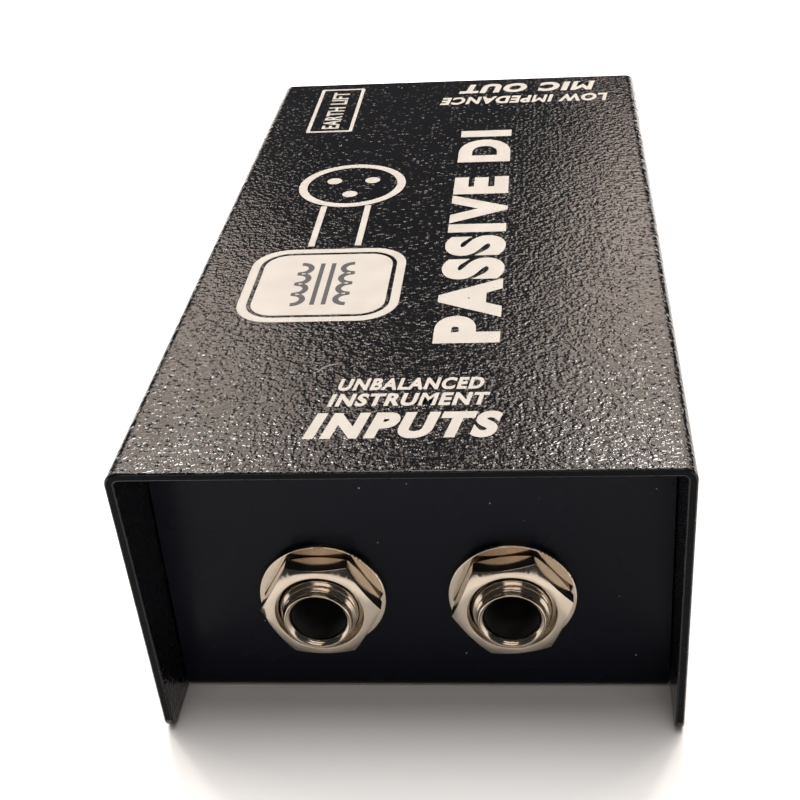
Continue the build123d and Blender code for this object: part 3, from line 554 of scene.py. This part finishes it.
def lathe(shape, middle, outline_at):
    """Turns an outline, which may differ with the angle, about the axis of a jack."""
    rings = []
    for i in range(TURN_STEPS):
        turn = math.tau * i / TURN_STEPS
        ring = []
        for radius, along in outline_at(turn):
            spot = (middle.x + radius * math.cos(turn), PANEL_Y - along, middle.z + radius * math.sin(turn))
            ring.append(shape.verts.new(spot))
        rings.append(ring)
    for here, there in zip(rings, rings[1:] + rings[:1]):
        for a, b, c, d in zip(here, here[1:], there[1:], there):
            shape.faces.new((a, b, c, d)).smooth = True


def jack_middle(side):
    """A point on the axis of a jack."""
    low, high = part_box(f"jack_{side}_nut")
    return (low + high) / 2


def thread_bushing(side):
    """The jack's frame with the front of its bushing cut off at the washer and a threaded one put there."""
    node = f"jack_{side}_frame"
    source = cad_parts[node]
    mesh = source.data.copy()
    shape = bmesh.new()
    shape.from_mesh(mesh)
    bmesh.ops.bisect_plane(shape, geom=shape.verts[:] + shape.edges[:] + shape.faces[:], clear_outer=True,
                           plane_co=(0, PANEL_Y - WASHER_T, 0), plane_no=(0, -1, 0))
    lathe(shape, jack_middle(side), bushing_outline)
    shape.to_mesh(mesh)
    shape.free()
    slot = slot_name(source.data.materials[0])
    piece = place_piece(f"jack_{side}_threaded_frame", mesh, slot)
    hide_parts(node)


def paint_bore_shade(side):
    """A near-black sheet inside a jack's bore: painted shade that covers the reflections of the plated bore.
    """
    name = f"jack_{side}_lining"
    shape = bmesh.new()
    lathe(shape, jack_middle(side), bore_shade_outline)
    mesh = bpy.data.meshes.new(name)
    shape.to_mesh(mesh)
    shape.free()
    place_piece(name, mesh, "lining")


# ---------------------------------------------------------------- flat outlines
ARC_STEPS = 24
CORNER_STEPS = 8
CIRCLE_STEP = 7.5


def flat_curve(name, *loops):
    """A filled flat curve from closed loops of points; a loop within another is a hole."""
    curve = bpy.data.curves.new(name, "CURVE")
    curve.dimensions = "2D"
    curve.fill_mode = "BOTH"
    for points in loops:
        line = curve.splines.new("POLY")
        line.points.add(len(points) - 1)
        for knot, (x, y) in zip(line.points, points):
            knot.co = (x, y, 0, 1)
        line.use_cyclic_u = True
    return curve


def arc(x, y, radius, start, end, steps=ARC_STEPS):
    """Points along an arc, in degrees counterclockwise from +X."""
    turns = [math.radians(start + (end - start) * i / steps) for i in range(steps + 1)]
    return [(x + radius * math.cos(t), y + radius * math.sin(t)) for t in turns]


def circle(x, y, radius):
    """A closed circle of points."""
    return arc(x, y, radius, 0, 360 - CIRCLE_STEP, round(360 / CIRCLE_STEP) - 1)


def rounded_box(width, height, radius):
    """A closed rectangle with round corners, about the origin."""
    right, up = width / 2 - radius, height / 2 - radius
    corners = [(right, up, 0), (-right, up, 90), (-right, -up, 180), (right, -up, 270)]
    return [p for x, y, turn in corners for p in arc(x, y, radius, turn, turn + 90, CORNER_STEPS)]


def band(line, width):
    """A closed outline that follows an open line of points on both sides, that wide."""
    left, right = [], []
    for i, (x, y) in enumerate(line):
        ahead = Vector(line[min(i + 1, len(line) - 1)]) - Vector(line[max(i - 1, 0)])
        side = Vector((-ahead.y, ahead.x)).normalized() * width / 2
        left.append((x + side.x, y + side.y))
        right.append((x - side.x, y - side.y))
    return left + right[::-1]


# ---------------------------------------------------------------- ink on the cover
INK_T = 0.03 * MM
HEAVY = 0.06
MEDIUM = 0.045
LIGHT = 0.02
GROWN_FLAT = 0.3
GROWN_ROUND = 0.7
SPACE_PER_WEIGHT = 3.5

# piece, words, length, cap height, X and distance from the front edge of the lower left corner (all in
# millimetres), turn in degrees, slant, weight
LINES = (
    ("ink_inputs", "INPUTS", 22.0, 5.4, -10.9, 6.4, 0, 0.25, HEAVY),
    ("ink_instrument", "INSTRUMENT", 18.6, 2.8, -9.0, 13.1, 0, 0.2, MEDIUM),
    ("ink_unbalanced", "UNBALANCED", 17.0, 2.7, -8.2, 16.6, 0, 0.2, MEDIUM),
    ("ink_title", "PASSIVE DI", 71.5, 8.4, 10.4, 27.4, 90, 0.0, HEAVY),
    ("ink_mic", "MIC OUT", 24.0, 4.6, 24.6, 121.9, 180, 0.2, HEAVY),
    ("ink_low", "LOW IMPEDANCE", 29.0, 3.6, 26.6, 115.4, 180, 0.2, MEDIUM),
    ("ink_earth", "EARTH LIFT", 18.0, 2.9, -18.9, 102.0, 90, 0.0, LIGHT),
)

# the frame around the words for the switch, in millimetres
FRAME_X = -20.3
FRAME_DISTANCE = 111.0
FRAME_WIDTH = 7.8
FRAME_LENGTH = 21.4
FRAME_LINE = 0.6
FRAME_CORNER = 0.4


def on_cover(x, distance):
    """A place on the cover from its X and its distance from the front edge, in millimetres."""
    return x * MM, FRONT_Y + distance * MM


def ink_piece(name, place, loops, finish="cover_ink", layers=1):
    """Ink that fills loops of points, laid on the cover at a place."""
    curve = flat_curve(name, *loops)
    curve.extrude = INK_T * layers
    drawn = bpy.data.objects.new(name + "_outline", curve)
    bpy.context.scene.collection.objects.link(drawn)
    mesh = as_mesh(drawn)
    mesh.transform(Matrix.Translation((*place, TOP_Z)))
    place_piece(name, mesh, finish)


def ink_line(name, words, length, height, place, turn, slant, weight):
    """A line of letters of a given length and cap height; place is its lower left corner."""
    text = bpy.data.curves.new(name, "FONT")
    text.body = words
    text.offset = GROWN_FLAT * weight
    text.bevel_depth = GROWN_ROUND * weight
    text.bevel_resolution = 0
    text.space_character = 1 + SPACE_PER_WEIGHT * weight
    text.shear = slant
    drawn = bpy.data.objects.new(name + "_outline", text)
    bpy.context.scene.collection.objects.link(drawn)
    mesh = as_mesh(drawn)
    xs = [v.co.x for v in mesh.vertices]
    ys = [v.co.y for v in mesh.vertices]
    thin = INK_T / (GROWN_ROUND * weight)
    to_corner = Matrix.Translation((-min(xs), -min(ys), 0))
    to_size = Matrix.Diagonal((length / (max(xs) - min(xs)), height / (max(ys) - min(ys)), thin, 1))
    to_cover = Matrix.Translation((*place, TOP_Z)) @ Matrix.Rotation(math.radians(turn), 4, "Z")
    mesh.transform(to_cover @ to_size @ to_corner)
    mesh.shade_flat()
    place_piece(name, mesh, "cover_ink")


def make_lettering():
    """Plain words for the jacks, the box, the output and the switch, the last in a frame."""
    for name, words, length, height, x, distance, turn, slant, weight in LINES:
        ink_line(name, words, length * MM, height * MM, on_cover(x, distance), turn, slant, weight)
    outside = rounded_box(FRAME_WIDTH * MM, FRAME_LENGTH * MM, FRAME_CORNER * MM)
    inside = rounded_box((FRAME_WIDTH - 2 * FRAME_LINE) * MM, (FRAME_LENGTH - 2 * FRAME_LINE) * MM,
                         FRAME_CORNER / 2 * MM)
    ink_piece("ink_earth_frame", on_cover(FRAME_X, FRAME_DISTANCE), [outside, inside])


# ---------------------------------------------------------------- drawing on the cover
DRAWING = on_cover(-13.6, 44.2)
BLOCK = 17.6 * MM
BLOCK_CORNER = 3.4 * MM
RIM_OUTSIDE = 21.2 * MM
RIM_INSIDE = 18.8 * MM
RIM_OUTSIDE_CORNER = 5.0 * MM
RIM_INSIDE_CORNER = 4.0 * MM
COIL_X = 3.6 * MM
COIL_TURNS = 4
COIL_PITCH = 3.0 * MM
COIL_R = 1.4 * MM
COIL_LINE = 0.8 * MM
CORE_X = 0.75 * MM
CORE_REACH = 6.0 * MM
CORE_LINE = 0.6 * MM
LEAD_X = 3.3 * MM
LEAD_START = 11.6 * MM
LEAD_END = 25.4 * MM
LEAD_LINE = 0.9 * MM
SOCKET_Y = 33.2 * MM
SOCKET_R = 8.2 * MM
SOCKET_INSIDE_R = 6.9 * MM
PINS_R = 3.4 * MM
PIN_R = 1.15 * MM
PIN_TURNS = (60, 180, 300)


def make_windings():
    """The two scalloped windings and the two bars of the core between them."""
    marks = []
    for side in (-1, 1):
        coil = []
        for turn in range(COIL_TURNS):
            middle = (turn - (COIL_TURNS - 1) / 2) * COIL_PITCH
            coil += arc(side * COIL_X, middle, COIL_R, -90, -90 - side * 180)
        marks.append(band(coil, COIL_LINE))
        marks.append(band([(side * CORE_X, -CORE_REACH), (side * CORE_X, CORE_REACH)], CORE_LINE))
    ink_piece("ink_windings", DRAWING, marks, "dark_ink", layers=2)


def make_pictogram():
    """A plain drawing of what the box does: a transformer, with two leads to a three-pin socket."""
    ink_piece("ink_panel", DRAWING, [rounded_box(BLOCK, BLOCK, BLOCK_CORNER)])
    ink_piece("ink_rim", DRAWING, [rounded_box(RIM_OUTSIDE, RIM_OUTSIDE, RIM_OUTSIDE_CORNER),
                                   rounded_box(RIM_INSIDE, RIM_INSIDE, RIM_INSIDE_CORNER)])
    make_windings()
    leads = [band([(side * LEAD_X, LEAD_START), (side * LEAD_X, LEAD_END)], LEAD_LINE) for side in (-1, 1)]
    ink_piece("ink_leads", DRAWING, leads)
    socket = [circle(0, 0, SOCKET_R), circle(0, 0, SOCKET_INSIDE_R)]
    for turn in map(math.radians, PIN_TURNS):
        socket.append(circle(PINS_R * math.sin(turn), PINS_R * math.cos(turn), PIN_R))
    x, y = DRAWING
    ink_piece("ink_socket", (x, y + SOCKET_Y), socket)


# ---------------------------------------------------------------- wear
SCUFF_PLACE = on_cover(-8.6, 20.2)
SCUFF_R = 2.6 * MM
SCUFF_START = 100
SCUFF_END = 165
SCUFF_LINE = 0.28 * MM


def make_scuff():
    """A short pale curved scuff beside the lettering for the jacks."""
    mark = band(arc(0, 0, SCUFF_R, SCUFF_START, SCUFF_END), SCUFF_LINE)
    ink_piece("scuff", SCUFF_PLACE, [mark], "scuff")


# ---------------------------------------------------------------- the scene
make_camera()
make_floor()
make_lights()
make_world()
FINISHES = make_finishes()
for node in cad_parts.values():
    for slot in node.material_slots:
        slot.material = FINISHES[slot_name(slot.material)]
for side in SIDES:
    soften(f"jack_{side}_nut", NUT_EDGE)
    thread_bushing(side)
    # a near-black sheet inside each bore is painted shade
    paint_bore_shade(side)
soften("base_chassis", CHASSIS_EDGE)
soften("output_shell", SHELL_EDGE)
soften("switch_slider", SLIDER_EDGE, body="slider")
soften("top_cover", COVER_EDGE, segments=4, clamp=False, rim="cover_rim", cut="cover_cut")
make_lettering()
make_pictogram()
make_scuff()
